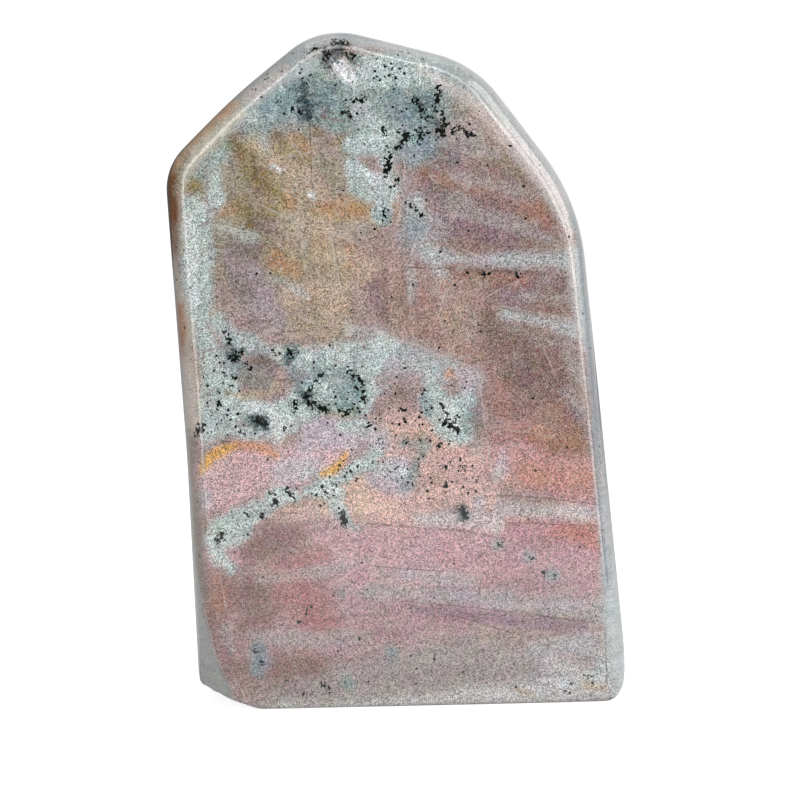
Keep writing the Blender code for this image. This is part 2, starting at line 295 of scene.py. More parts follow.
        [(-26.4, 57.4, 1.4), (-24, 59.6, 1.4), (-23.4, 57.2, 2.4), (-22.4, 55.8, 1.4)],
    ]),
    "teal": ((134, 158, 160), 0.8, 2.0, 1.2, 1.2, [
        [(-22, 104, 2.5), (-16, 104, 3.5), (-11, 101, 2.5)], [(0, 103.5, 3), (4, 101, 2.5), (2, 98, 1.5)],
        [(-19, 60.5, 1.2), (-17, 56, 1.6), (-14, 57.5, 1.6), (-10, 57, 1.8), (-7.5, 54, 1.3)],
        [(-29, 62.5, 1.6), (-28, 59.5, 1.6)], [(-25, 49.7, 1.4)], [(-12, 52.5, 1), (-9, 52, 1)],
        [(-25, 10.8, 0.9), (-24.3, 8.6, 1.3), (-24.6, 7.4, 0.8)], [(-9.4, 4.4, 0.7)], [(-2, 9.4, 0.8)],
        [(-2.4, 84.6, 1)], [(11.4, 48, 1.4), (12, 50, 1)], [(4.6, 52.6, 1.3), (4.8, 50.5, 0.8)],
        [(-10, 53.6, 1.3)], [(0.5, 45.5, 1), (4, 45, 1), (1, 38, 1.1)], [(26, 22.3, 1.1)],
        [(16.5, 27.6, 0.9)], [(-10.5, 20, 0.6)], [(22, 25.5, 0.7)],
    ]),
    "ink": ((106, 126, 136), 0.6, 1.6, 1.2, 1.4, [
        [(-15.6, 104.4, 1.2), (-15, 102.4, 1.6), (-12.6, 103.2, 1.2)],
        [(-13.6, 106.2, 1.2), (-11.6, 105.4, 1)], [(-25, 10.2, 0.9), (-24.5, 8.4, 1.1), (-24.9, 6.9, 0.6)],
        [(2, 102, 1.6), (5, 103.4, 1.4)], [(5.4, 100.4, 1.1), (7, 99.4, 0.9)],
    ]),
    "white": ((222, 228, 227), 0.85, 1.0, 0.9, 0.6, [
        [(7.5, 52, 0.9), (8.6, 50, 1.3), (9.8, 48, 0.8)],
        [(-25.5, 51.8, 1.1), (-19.5, 49, 1.6), (-21, 46.8, 1)], [(-12.9, 38.8, 0.7)], [(0.4, 40.4, 0.8)],
        # The stroke at x -35.5 runs up the left shoulder and is partly a painted highlight.
        [(-35.5, 84, 0.8), (-35.5, 77, 1.5), (-35, 70, 1)], [(-14.6, 37.6, 0.9), (-12, 37.4, 1.2)],
        [(-21, 36.8, 0.9), (-18, 36.9, 0.7)], [(-33, 29.6, 0.6), (-31.8, 26.8, 0.5), (-29.2, 24.6, 0.3)],
        [(-7.4, 42, 0.7)], [(-29.2, 10.6, 0.4)], [(27.4, 3.2, 0.4)], [(32.2, 4.9, 0.35)],
        [(-5.8, 91.8, 0.8), (-3.5, 90.5, 1.1)], [(-21.4, 92.8, 0.25), (-20.2, 92, 0.25)],
        [(-14.9, 88, 0.4), (-14.2, 87.4, 0.3)], [(-20.6, 79.6, 0.25), (-19.8, 78.8, 0.2)],
    ]),
    "amber": ((238, 182, 88), 0.9, 0.6, 0.5, 0.7, [
        [(-34, 41, 0.6), (-33, 42.8, 0.9), (-30.8, 44.5, 0.95), (-28.2, 45.4, 0.7)],
        [(-13.4, 40.4, 0.5), (-11.4, 41.2, 0.7), (-10, 42.6, 0.5), (-9.4, 43.8, 0.3)],
    ]),
    "ember": ((222, 160, 118), 0.8, 0.8, 0.6, 0.8, [
        [(-28, 45.5, 0.6), (-25.5, 45.3, 0.8), (-22.8, 44.6, 0.7), (-21.2, 43.6, 0.4)], [(8.5, 57, 0.8)],
    ]),
    "straw": ((196, 176, 142), 0.7, 0.8, 0.8, 0.8, [
        [(-29.5, 54.2, 0.2), (-27, 53.8, 0.4), (-23, 53.9, 0.4), (-21, 55.6, 0.7)],
        [(-12, 50.6, 0.5), (-8.6, 50.4, 0.5)], [(31.6, 3, 0.9), (34.4, 2.6, 0.7)],
        [(19.8, 2.6, 0.6), (22.4, 1.6, 0.4)],
    ]),
    "umber_core": ((112, 96, 96), 0.7, 1.4, 1.0, 1.1, [
        [(-24.2, 61, 0.6), (-23, 60.2, 1), (-22, 58.4, 0.8)], [(-12.6, 101.8, 0.8)],
    ]),
    "moss": ((92, 126, 114), 0.5, 1.0, 1.4, 0.8, [
        [(10.3, 34, 0.8), (10.7, 32.9, 1.1)], [(-24.6, 49.6, 1), (-23.4, 49.2, 0.9)],
        [(-16.4, 54, 1.4), (-15, 51.8, 1), (-10.3, 51, 0.7), (-7.8, 51.2, 0.8)],
        [(-6.1, 53.4, 0.7), (-6.6, 56, 0.6), (-8.4, 57.4, 0.5)], [(3, 103.6, 1), (5, 101, 1.1)],
        [(-28.2, 61, 1)],
    ]),
    "bright": ((240, 240, 244), 0.95, 0.5, 0.5, 0.4, [
        [(-10.6, 110.4, 0.7), (-9.3, 109.4, 1.25), (-7.9, 107.5, 0.9)],
    ]),
}

# Where the skin is broken: a stroke and how deep, how far round it the skin sinks, and how much of the depth
# counts against the stroke.
BROKEN = (
    ([(-10.3, 110.6, 0.8), (-9.1, 109.2, 1.1), (-8.0, 107.5, 0.8)], 0.35),
    ([(-20.6, 93.0, 0.25), (-19.6, 92.4, 0.3)], 0.25),
    ([(-14.7, 88.0, 0.4)], 0.3),
    ([(8.4, 49.0, 0.3), (9.2, 48.0, 0.3)], 0.1),
    ([(29.9, 83.3, 0.3), (30.4, 82.4, 0.45)], 0.45),
    ([(-14.9, 100.0, 0.06), (-14.6, 88.5, 0.06)], 0.12),
)
BROKEN_RIM = 0.45
BROKEN_DEPTH = 0.3

# What shows round the shoulder and on the sides, where little of the depth counts: the sides' own colours,
# pale bands that are painted highlights and painted reflections of the soft boxes and the room, and slate
# grey that is partly painted shade. Past SIDE_TURN millimetres behind the front these bands slant like the
# rest, grow narrower and ripple.
SIDE_DEPTH = 0.08
SIDE_TURN = 15.0
SIDE_FADE = 0.16
SIDE_RIPPLE = 0.10
# Two waves out of step: their lengths up the slab and into it, in millimetres over two pi.
RIPPLES = ((1.9, 1.3), (3.1, -2.2))
SIDES = {
    "side_beige": ((212, 200, 182), 0.85, 2.4, 1.2, 1.5, [
        [(-39.6, 77, 2), (-38.6, 70, 2.2), (-37.2, 63, 2.8), (-36.4, 56, 2.4), (-36.2, 49, 1.8)],
    ]),
    "side_brown": ((138, 80, 24), 0.95, 2.4, 1.4, 1.2, [
        [(-40.2, 93, 1.9), (-40.6, 86, 3.5), (-40.4, 79, 3)],
    ]),
    "side_orange": ((190, 112, 44), 0.92, 2.0, 1.4, 1.2, [[(-39.3, 67.4, 2.3), (-38.9, 62, 2.3)]]),
    "side_tan": ((240, 194, 150), 0.92, 2.4, 1.4, 1.5, [
        [(-39, 95, 2.4), (-34.5, 99.8, 3), (-28.5, 104.6, 3), (-25.5, 106.8, 2)],
    ]),
    "side_stone": ((156, 147, 134), 0.85, 2.0, 1.2, 1.3, [
        [(-37, 46, 1.2), (-36, 36, 1.7), (-35.2, 24, 1.7), (-35.4, 14, 1)],
    ]),
    "side_facet": ((186, 194, 192), 0.8, 0.5, 0.6, 0.5, [
        [(-36.2, 27, 0.5), (-35.3, 17, 1.1), (-33.6, 8, 2), (-31.4, 1.4, 2.3)],
    ]),
    # The grey of the top and upper right rim, partly the side's own colour and partly a painted reflection of
    # the bright room.
    "side_grey_and_reflection": ((180, 186, 186), 0.85, 1.4, 0.8, 1.2, [
        [(-23.5, 108.8, 2), (-19, 112.4, 3), (-12, 116.5, 3.6), (-4, 116, 3.6), (6, 113.6, 3.4)],
        [(6, 113.6, 3.4), (14, 109, 3.6), (20, 102, 3.8), (26, 93, 3.6), (30.5, 84, 3)],
    ]),
    # The sides' own pale grey, and along the upper left shoulder a painted highlight line.
    "side_silver_and_highlight": ((192, 201, 202), 0.88, 1.2, 0.6, 1.2, [
        [(30.6, 78, 1.2), (31.4, 70, 1.8), (32.6, 62, 1.2)],
        [(35.8, 51, 1), (36.2, 46, 1.9), (37, 36, 2.5), (37.8, 22, 3.4), (38.6, 9, 3.4), (38.6, 3, 2)],
        [(-26, 102.4, 1), (-18.6, 107.8, 0.9), (-13.4, 110.6, 0.6)],
        [(-26.4, 105.2, 1.8), (-20.4, 110.2, 1.8), (-15, 113.6, 1.6)],
    ]),
    # The slate grey of the right side; its thin run down the right shoulder is painted shade that dims the
    # lamps' highlight there.
    "side_slate_and_shade": ((140, 148, 154), 0.88, 0.8, 0.6, 0.8, [
        [(31, 88.4, 1.6), (33, 80, 2.3), (33.9, 69, 2.5), (34.7, 58, 2.4), (34.2, 51.6, 1.5)],
        [(34.2, 51.6, 1.5), (33.7, 46, 0.8), (34.1, 36, 0.5), (35, 27, 0.6), (35.4, 20, 0.5)],
        [(-9, 115.2, 1), (-3, 115, 1.2)],
    ]),
    # Painted highlight: a pale pinkish band along the shoulder, where the soft boxes are mirrored.
    "painted_highlight": ((228, 214, 210), 0.66, 0.6, 0.5, 1.0, [
        [(4, 109, 0.6), (12.8, 103.6, 1.2), (18.6, 97.6, 1.5), (22.8, 92.8, 1.5), (27.2, 87, 1.4)],
        [(27.2, 87, 1.3), (29.2, 81, 0.8), (30.1, 72, 0.4), (31.7, 52, 0.2), (32.4, 45, -0.2)],
        [(-36.8, 59, 1.3), (-36.4, 55, 1.7), (-35.8, 49.6, 1.3)], [(-27.6, 105.4, 0.8), (-22.4, 109.8, 0.6)],
        [(-24.8, 104.4, 1.4), (-19, 109, 1)],
    ]),
    # Painted highlight: the bright line along the upper left shoulder.
    "painted_rim_highlight": ((224, 218, 200), 0.8, 0.6, 0.5, 0.9, [
        [(-36.8, 78, 0.2), (-36.8, 87, 0.1), (-36, 91.6, 0.7), (-33.8, 95.2, 1.2)],
        [(-33.8, 95.2, 1.2), (-29.4, 99.2, 1.2), (-26.4, 101.8, 1)],
    ]),
}

# Dark minerals on the front, as strokes too: dendrites and blots.
DARK = [
    [(-11.3, 113.4, 0.3), (-9.8, 113.9, 0.5), (-8.4, 113.2, 0.4)], [(-9.4, 112.6, 0.25), (-8.2, 112.2, 0.3)],
    [(-12.2, 112.4, 0.5), (-11.8, 111, 0.5)], [(-8.1, 111.6, 0.6), (-7.4, 111, 0.4)],
    [(-14.6, 112.3, 0.4), (-13.9, 112.6, 0.3)], [(-9.4, 101.3, 0.2), (-8.6, 102.6, 0.35), (-7.9, 101.3, 0.3)],
    [(-7.7, 103.3, 0.2), (-6.8, 104, 0.3), (-6, 103.6, 0.2)],
    [(2.6, 103.6, 0.25), (3.3, 104.1, 0.3), (3.8, 103, 0.3), (4.4, 101.6, 0.4), (5.3, 100.8, 0.4)],
    [(7.3, 106.2, 0.25), (6.8, 104, 0.35), (6.5, 102.3, 0.3), (6.2, 101.2, 0.2)],
    [(7.6, 101.6, 0.25), (7.8, 100.5, 0.3), (8.2, 99.7, 0.4), (7.1, 98.9, 0.5), (7.6, 97.6, 0.4)],
    [(3.6, 98.6, 0.35), (4.3, 97.8, 0.4), (4.2, 96.9, 0.3)], [(-2.7, 98.9, 0.4), (-2.2, 97.9, 0.4)],
    [(0.5, 98.5, 0.25), (1.8, 97.7, 0.35), (1.2, 96.8, 0.45), (0.1, 95.8, 0.4), (-0.6, 95.3, 0.2)],
    [(-1.4, 94.3, 0.4), (-1.7, 92.6, 0.55), (-2.1, 91, 0.3)], [(-0.3, 90.3, 0.25), (-0.6, 89.3, 0.2)],
    [(-2.5, 86.2, 0.2), (-2.2, 84.8, 0.3), (-2.5, 83.3, 0.2)], [(2.3, 86, 0.25), (3, 85.1, 0.2)],
    [(9.4, 98.2, 0.25), (10.6, 98.9, 0.4), (11.6, 98.4, 0.3), (12.8, 97.7, 0.5)],
    [(-29.9, 65.2, 0.15), (-29.3, 63.8, 0.2), (-28.6, 62.4, 0.3), (-28.2, 61.4, 0.3)],
    [(-28.5, 60.2, 0.45), (-27.6, 60.6, 0.4), (-26.8, 61.6, 0.2)], [(-21.7, 61.8, 0.25), (-20.6, 60.8, 0.3)],
    [(-18.8, 61.6, 0.55), (-18.5, 60.6, 0.35)],
    [(-13.6, 57.2, 0.3), (-14.4, 55.8, 0.25), (-15.6, 54.6, 0.35), (-16.2, 53.6, 0.5), (-15.3, 52.4, 0.4)],
    [(-14.9, 51.9, 0.35), (-13.6, 51.2, 0.4), (-12.4, 51, 0.4)], [(-10.6, 51.2, 0.3), (-9.4, 50.7, 0.3)],
    [(-18.1, 52.8, 0.35), (-18, 51.4, 0.25)], [(-8.5, 57.6, 0.4), (-7.2, 56.4, 0.4), (-6.4, 55.8, 0.35)],
    [(-7.3, 55, 0.3), (-6.4, 54.3, 0.25), (-6.2, 52.4, 0.4)],
    [(-9.2, 50.7, 0.35), (-8, 51.3, 0.3), (-7.3, 51, 0.3)], [(-34.9, 47.2, 0.4), (-33.8, 48.8, 0.55)],
    [(-31.1, 52.8, 0.25), (-30.9, 51.9, 0.2)], [(-27.1, 47.9, 0.3), (-26.3, 47.5, 0.25)],
    [(-24.6, 50, 0.5), (-23.2, 49.1, 0.5)],
    [(7, 52.3, 0.2), (7.2, 51.3, 0.2), (7.6, 50.4, 0.25), (8.1, 49.5, 0.3)],
    [(8.1, 49.5, 0.3), (8.7, 48.6, 0.5), (9.2, 48, 0.5), (9.7, 47.4, 0.35)],
    [(9.9, 49.8, 0.15), (9, 48.9, 0.3)], [(6.7, 48.9, 0.15), (8.2, 48.4, 0.35)],
    [(-22.3, 37.1, 0.3), (-21.4, 37.1, 0.35)], [(-21.6, 36.3, 0.35), (-21.8, 35.4, 0.45)],
    [(-19.4, 38, 0.2), (-19.3, 36.9, 0.3)], [(-18.9, 36.9, 0.25), (-18.4, 36, 0.3)],
    [(-13.5, 38.2, 0.15), (-12.9, 37.2, 0.25), (-12.3, 36.6, 0.2)], [(-11.7, 38, 0.25), (-10.9, 38.6, 0.2)],
    [(-9.6, 40, 0.25), (-8.7, 40.6, 0.25), (-7.7, 41.6, 0.2)],
    [(-10.5, 34.3, 0.25), (-10.2, 33.1, 0.45), (-9.8, 31.6, 0.35)],
    [(-30.6, 30.7, 0.4), (-30.8, 29.8, 0.6), (-31.7, 29, 0.35)], [(-26.3, 33.8, 0.4), (-26.1, 33.2, 0.3)],
    [(10.2, 34.1, 0.45), (10.8, 33, 0.65)], [(-14, 4.6, 0.25), (-13.3, 3.7, 0.35), (-12.7, 2.9, 0.25)],
    [(-11.7, 19.8, 0.2), (-11.2, 20.3, 0.15)], [(-14.6, 52.6, 0.3), (-13.2, 51.6, 0.45)],
    [(14, 74.2, 0.35), (14.6, 73.8, 0.35)], [(-26.3, 59.2, 0.35), (-25.6, 58.7, 0.25)],
    [(31.8, 4.6, 0.3), (33.1, 4.4, 0.2)],
]
# Single dark spots by their half width: x and height.
DARK_SPOTS = {
    0.15: (
        (-14.6, 36.7), (24.2, 22.9), (24.6, 21.9), (22.3, 25.4), (-7.6, 12), (-17, 2.6), (27.8, 2.2),
        (32.5, 1.1),
    ),
    0.2: (
        (-30, 57.4), (-22.6, 62.3), (-31, 54.6), (-20, 48.2), (8.4, 54.9), (-16.3, 16.8), (-17.7, 15.1),
        (-25.2, 10.4), (-19.2, 101.4),
    ),
    0.25: (
        (-17.2, 112), (-5.8, 101.9), (-33, 46.6), (-22.9, 43), (26.4, 22), (-8.6, 14.2), (20.4, 73.8),
        (7.5, 41.1), (-24.2, 8.2), (27.3, 4.3),
    ),
    0.3: (
        (5.9, 101.6), (5.3, 98.2), (17, 27.8), (11.6, 74.1), (15.6, 74.1), (8.3, 45.1), (10.3, 41.1),
        (-5.5, 48.6), (3.8, 54.3), (3.9, 84.1), (-20, 103.3), (-16.6, 101.8),
    ),
    0.35: ((-28.1, 57), (-30.9, 48.9), (-15.6, 17.3), (6.6, 45), (-3.4, 45.8), (-17.6, 102.2)),
    0.4: ((-23.9, 33.3), (0.8, 45.5)),
}

# Dark minerals on the back.
DARK_BEHIND = [
    [(-12, 88, 0.3), (-9.4, 86.6, 0.6), (-8.2, 84, 0.5)], [(-6.6, 90.4, 0.4), (-5.2, 88.8, 0.3)],
    [(3.4, 92.6, 0.4), (4.2, 90.6, 0.5), (3.6, 88.4, 0.3)],
    [(16, 58, 0.5), (18.4, 57, 0.8), (19.2, 54.6, 0.5)], [(12.6, 55.4, 0.4), (13.8, 54, 0.3)],
    [(22.6, 60.4, 0.3), (23.4, 58.6, 0.4)], [(-18.6, 33, 0.5), (-17.2, 31.6, 0.4)], [(-24.4, 28.6, 0.3)],
    [(8.8, 21.4, 0.4), (9.6, 20.2, 0.3)], [(-4.2, 13.6, 0.3)],
]

# Pockets on the back, by the names of the front's.
BEHIND = {
    "ice": [
        [(-14, 90, 1.6), (-9, 87, 3), (-7, 82, 2), (-9, 77, 1)], [(1, 95, 1.4), (4, 91, 2.2), (3, 86, 1.2)],
        [(12, 60, 1.6), (17, 57, 3.2), (22, 59, 2.4), (27, 62, 1.2)],
        [(-21, 34, 1.2), (-17, 32, 1.8), (-12, 32.6, 1)],
    ],
    "teal": [[(-9, 85, 1.4), (-7.6, 81, 1)], [(18, 55.4, 1.6), (21, 58, 1.2)], [(8.8, 21, 1.2)]],
    "white": [
        [(-11, 88.4, 0.8), (-9.6, 85.4, 0.8)], [(15.4, 58.4, 1), (19.6, 57.8, 0.8)], [(-16.4, 32.2, 0.6)],
    ],
    "gold": [[(-24, 78, 2), (-21, 74, 2.4)], [(-27, 70, 1.2)]],
    "orange": [[(-18, 70, 1.6), (-15, 67, 1.2)], [(6, 44, 1.2)]],
    "lilac_grey": [[(-4, 48, 2.6), (2, 46, 2.2)], [(24, 40, 1.6)]],
    "pale_grey": [
        [(-30, 52, 1), (-16, 51, 1.4), (-2, 53, 1.2), (10, 50, 1)],
        [(-8, 23, 1), (8, 24.4, 1.4), (26, 23, 1.6)],
    ],
    "haze": [[(-26, 60, 1.2), (-12, 62, 1.6), (4, 61, 1)], [(-26, 14, 1), (-6, 12, 1.6), (16, 13.6, 1.2)]],
    "umber": [[(8, 74, 2.4), (12, 68, 3)], [(-24, 44, 1.8)]],
    "deep_pink": [[(-20, 24, 2.4), (-4, 18, 2.6), (14, 18.6, 2.4)]],
}

# Soft dark stains under the surface.
STAIN = [
    [(-15.9, 105.6, 0.5), (-15.6, 103.4, 1), (-15.2, 101, 0.8)], [(-11.4, 110.8, 1.1), (-10, 112.4, 0.9)],
    [(-7.6, 110.8, 0.6)], [(7.4, 99.2, 0.5)], [(-16, 53.4, 0.7)], [(-28.4, 60.6, 0.5)], [(-18.7, 61, 0.9)],
    [(-24, 49.6, 1.3)], [(10.5, 33.4, 0.7)],
]

# Where small black specks gather.
SPECKLED = [
    [(-3, 43, 4), (3, 42, 6), (9, 40, 4)], [(-4, 51, 3), (2, 50, 4), (0, 55, 2)],
    [(-8, 42, 3), (-12, 37, 1.5), (-20, 36.5, 1.5)], [(-30, 59, 3), (-28, 52, 4), (-33, 48, 3)],
    [(-14, 55, 4), (-7, 54, 4)], [(-2, 108, 3), (-6, 103, 3)], [(-14, 111, 3), (-19, 108, 2)],
    [(-23, 107.4, 1.4), (-18.4, 111, 1.2)], [(3, 100, 4), (0, 96, 3)], [(-2.5, 85, 1.6), (3.5, 85, 1.6)],
    [(-38.5, 73, 1.6), (-38, 80, 1)], [(28, 3, 1.2), (32, 4, 1.6)],
]


def srgb(red, green, blue):
    """A colour as it is seen on a screen, from 0 to 255, as the linear colour a node takes."""
    screen = np.array((red, green, blue)) / 255.0
    linear = np.where(screen <= 0.04045, screen / 12.92, ((screen + 0.055) / 1.055) ** 2.4)
    return (*(float(value) for value in linear), 1.0)


WHITE = (1.0, 1.0, 1.0, 1.0)
FLOOR_COLOUR = srgb(245, 245, 245)
GROUND = srgb(176, 152, 148)
STAIN_COLOUR = srgb(70, 88, 94)
SPRAY_COLOUR = srgb(22, 38, 48)
BLACK = srgb(12, 15, 15)
BLACK_GREEN = srgb(36, 46, 34)
FROST = srgb(226, 232, 230)
GREEN_SHADE = srgb(118, 144, 140)
BROWN = srgb(96, 74, 66)
SAWN_DARK = srgb(150, 142, 140)
SAWN_PALE = srgb(194, 190, 186)
CHALK = srgb(226, 226, 222)
FLECK = srgb(200, 202, 202)
UMBER_GRAIN = srgb(92, 72, 66)
PALE_SEAM = srgb(216, 206, 200)
PALE_HAIR = srgb(218, 214, 208)
RUST_HAIR = srgb(132, 96, 86)

NOISE_MIDDLE = 0.5
# The noise that edges wander by and the one they crumble by: period in millimetres, detail, roughness.
WANDER = (6.0, 5.0, 0.6)
CRUMBLE = (1.1, 4.0, 0.75)
# The noise swings by about half of its range, so an edge's reach counts twice.
EDGE_REACH = 2.0
# The pale pockets break up: how much the grey-green does so too, and by the crumbling the white crumbs and
# the greener shade between them.
GREEN_FROST = 0.7
CRUMB_RAMP = (0.0, 0.16, 0.0, 0.46)
SHADE_RAMP = (-0.02, -0.18, 0.0, 0.34)
# The strength and the period of the tints, the depth of the clouds, the streaks and the grain, and its size.
TINT_SHARE = 0.05
TINT_PERIOD = 3.4
CLOUD_DEPTH = 0.60
STREAK_DEPTH = 0.46
GRAIN_DEPTH = 0.70
GRAIN_SIZE = 0.14
# Pale flecks where the polish has frosted: noise as above, their edge in it, and their share by the height.
FLECKS = (0.42, 3.0, 0.7)
FLECK_RAMP = (0.46, 0.70)
FLECK_HEIGHT_RAMP = (44.0, 62.0, 0.16, 0.24)
# Single grains of chalk and of umber, by the grain's own lot.
CHALK_RAMP = (0.94, 1.0, 0.0, 0.75)
UMBER_RAMP = (0.05, 0.0, 0.0, 0.55)
# How much of the clouds and the grain is lost to the eye on the rounded shoulder.
SHOULDER_SMOOTHNESS = 0.7
# Streaks: the stretch along x, y and z, tilt in degrees, and the heights between which they set in.
STREAKS = (
    ((1.1, 6.0, 15.0), 3.0, 44.0, 56.0),
    ((13.0, 6.0, 1.0), 7.0, 52.0, 40.0),
)
STREAK_ROUGHNESS = 0.6

# Fine lines that run all over: turn in degrees, length and gap of their swells, width, how much of the stone
# they cover, colour, strength.
HAIRLINES = (
    (-68.0, 34.0, 2.6, 0.007, 0.80, PALE_HAIR, 0.44),
    (24.0, 34.0, 2.4, 0.007, 0.80, PALE_HAIR, 0.44),
    (-24.0, 34.0, 2.0, 0.008, 0.85, PALE_HAIR, 0.44),
    (60.0, 28.0, 2.0, 0.007, 0.70, PALE_HAIR, 0.40),
    (7.0, 16.0, 2.4, 0.014, 0.70, RUST_HAIR, 0.60),
)
# How strongly they show by the height. They fade in where a slow noise passes a least value, which falls by
# HAIRLINE_SPREAD as they cover more, and are full HAIRLINE_FADE above it.
HAIRLINE_HEIGHT_RAMP = (28.0, 66.0, 0.45, 1.0)
HAIRLINE_LEAST = 0.62
HAIRLINE_SPREAD = 0.24
HAIRLINE_FADE = 0.08

# Seams by their colour, the cleavage lines and twin edges that cross the slab: half width, a run of points.
SEAMS = (
    (PALE_SEAM, (
        (0.16, ((-4.5, 64.2), (3.2, 62.0), (9.4, 59.4), (13.2, 57.8))),
        (0.14, ((13.2, 57.8), (14.6, 47.5), (15.4, 41.0))),
        (0.13, ((15.4, 41.0), (17.6, 32.5))),
        (0.09, ((-14.6, 99.0), (-14.3, 88.0))),
        (0.10, ((-11.5, 80.5), (-10.1, 72.5))),
        (0.10, ((-8.2, 19.6), (-3.0, 19.0))),
        (0.09, ((17.5, 68.6), (29.5, 66.2))),
        (0.08, ((18.0, 67.0), (30.5, 63.6))),
        (0.08, ((-35.1, 23.0), (-32.3, 10.5), (-28.5, 1.5))),
        (0.06, ((-31.2, 24.0), (-29.0, 11.0))),
        (0.06, ((-27.4, 23.6), (-10.0, 24.6))),
    )),
    (BROWN, (
        (0.13, ((-14.9, 100.4), (-14.6, 88.5))),
        (0.10, ((-11.2, 80.5), (-9.8, 72.5))),
        (0.30, ((9.0, 75.1), (25.0, 74.1))),
        (0.12, ((16.5, 36.3), (25.0, 35.6), (34.0, 34.2))),
        (0.09, ((18.0, 31.6), (34.0, 30.6))),
        (0.14, ((-6.0, 31.8), (4.0, 30.8), (11.0, 30.2), (18.0, 28.6))),
        (0.10, ((-4.5, 24.4), (6.5, 23.4))),
        (0.10, ((0.0, 18.4), (13.0, 16.9))),
        (0.11, ((13.0, 16.9), (33.0, 14.0))),
        (0.10, ((8.0, 16.0), (22.0, 11.5))),
        (0.12, ((1.0, 75.4), (9.0, 75.0))),
        (0.16, ((-33.6, 44.0), (-33.4, 31.0))),
        (0.07, ((17.6, 32.5), (19.4, 26.5))),
        (0.09, ((20.0, 4.4), (25.4, 3.4))),
        (0.09, ((18.6, 2.9), (21.6, 1.8))),
        (0.10, ((34.9, 13.0), (35.2, 3.4))),
    )),
)
# A seam is full up to the first of these shares of its half width and gone at the second.
SEAM_EDGE = (0.5, 1.8)
SEAM_BREAK_RAMP = (-0.12, 0.12, 0.15, 0.95)
SEAM_STRENGTH = 0.75

# Stains crumble by this many millimetres. The grain sprays ink into their darkest parts.
STAIN_CRUMBLE = 5.0
STAIN_RAMP = (-1.2, 1.4, 0.8, 0.0)
SPRAY_SCATTER = 2.6
SPRAY_OFFSET = -0.4
SPRAY_RAMP = (0.1, 0.7, 0.9, 0.0)
# Dendrites and specks are whole crystals. How far a crystal's lot moves a dendrite's edge, the share of
# crystals that are specks where they gather, how far a speck fills its crystal, and how green it is.
CRYSTAL_SIZE = 0.40
DENDRITE_SCATTER = 0.90
DENDRITE_OFFSET = -0.42
DENDRITE_RAMP = (-0.03, 0.05, 1.0, 0.0)
SPECK_SHARE_RAMP = (-2.5, 2.0, 0.075, 0.0035)
SPECK_SIZE_RAMP = (0.0, 1.0, 0.35, 0.9)
GREEN_RAMP = (0.55, 0.9)

# The saw that cut the base: the middle of its arcs, their pitch, the heights the cut fades out over, how much
# the arcs wobble, and how strongly the cut is greyed.
SAW_CENTRE = (20.0, 150.0, 0.0)
SAW_PITCH = 0.7
SAWN_HEIGHTS = (0.15, 0.45)
SAW_WOBBLE = 0.6
SAWN_GREY = 0.55

# The finish: a high polish, a little duller on the dark specks and more so on the chalky pockets.
DARK_DULLNESS = 0.3
POLISH_RAMP = (0.0, 1.0, 0.07, 0.35)
SAWN_ROUGHNESS = 0.62
STONE_IOR = 1.56
COAT_ROUGHNESS = 0.04
UNEVENNESS = 0.2
UNEVEN_HEIGHT = 0.03 * MM
# How the nodes are set out in their editor.
NODES_IN_ROW = 14
NODE_STEP = (220.0, -320.0)


def select_only(obj):
    """Leaves one object selected and active."""
    bpy.ops.object.select_all(action="DESELECT")
    obj.select_set(True)
    bpy.context.view_layer.objects.active = obj


def new_object(name, data):
    """A new object in the scene."""
    made = bpy.data.objects.new(name, data)
    bpy.context.scene.collection.objects.link(made)
    return made


def apply_modifier(obj, kind, **settings):
    """Adds a modifier to an object and applies it."""
    modifier = obj.modifiers.new(kind.lower(), kind)
    for name, value in settings.items():
        setattr(modifier, name, value)
    select_only(obj)
    bpy.ops.object.modifier_apply(modifier=modifier.name)


def smooth_blank(node):
    """The CAD stone as a smooth blank: welded, turned to squares and rounded, its ground corners kept."""
    blank = new_object("smooth_blank", node.data.copy())
    select_only(blank)
    bpy.ops.object.mode_set(mode="EDIT")
    bpy.ops.mesh.select_mode(type="EDGE")
    bpy.ops.mesh.select_all(action="SELECT")
    bpy.ops.mesh.remove_doubles(threshold=WELD)
    bpy.ops.mesh.tris_convert_to_quads(face_threshold=SQUARE_FLATNESS, shape_threshold=SQUARE_SKEW)
    bpy.ops.mesh.select_all(action="DESELECT")
    bpy.ops.mesh.edges_select_sharp(sharpness=SHARP_CORNER)
    bpy.ops.transform.edge_crease(value=1.0)
    bpy.ops.object.mode_set(mode="OBJECT")
    apply_modifier(blank, "SUBSURF", levels=ROUNDINGS, render_levels=ROUNDINGS)
    return blank


def read_rows(items, name):
    """A mesh's vertex places or face normals, one row for each."""
    rows = np.empty(len(items) * 3)
    items.foreach_get(name, rows)
    return rows.reshape(-1, 3)


def ground_slab(node):
    """The stone's skin: an even net drawn over the blank, three times as fine on the front."""
    blank = smooth_blank(node)
    slab = new_object("polished_slab", blank.data.copy())
    apply_modifier(slab, "REMESH", mode="VOXEL", voxel_size=NET)
    faces = slab.data.polygons
    faces.foreach_set("select", read_rows(faces, "normal")[:, 1] < FRONT_FACING)
    select_only(slab)
    bpy.ops.object.mode_set(mode="EDIT")
    bpy.ops.mesh.select_mode(type="FACE")
    bpy.ops.mesh.subdivide(number_cuts=FRONT_CUTS)
    bpy.ops.object.mode_set(mode="OBJECT")
    apply_modifier(slab, "SHRINKWRAP", target=blank, wrap_method="NEAREST_SURFACEPOINT")
    apply_modifier(slab, "SMOOTH", factor=EVENING, iterations=EVENING_ROUNDS)
    bpy.data.objects.remove(blank)
    return slab


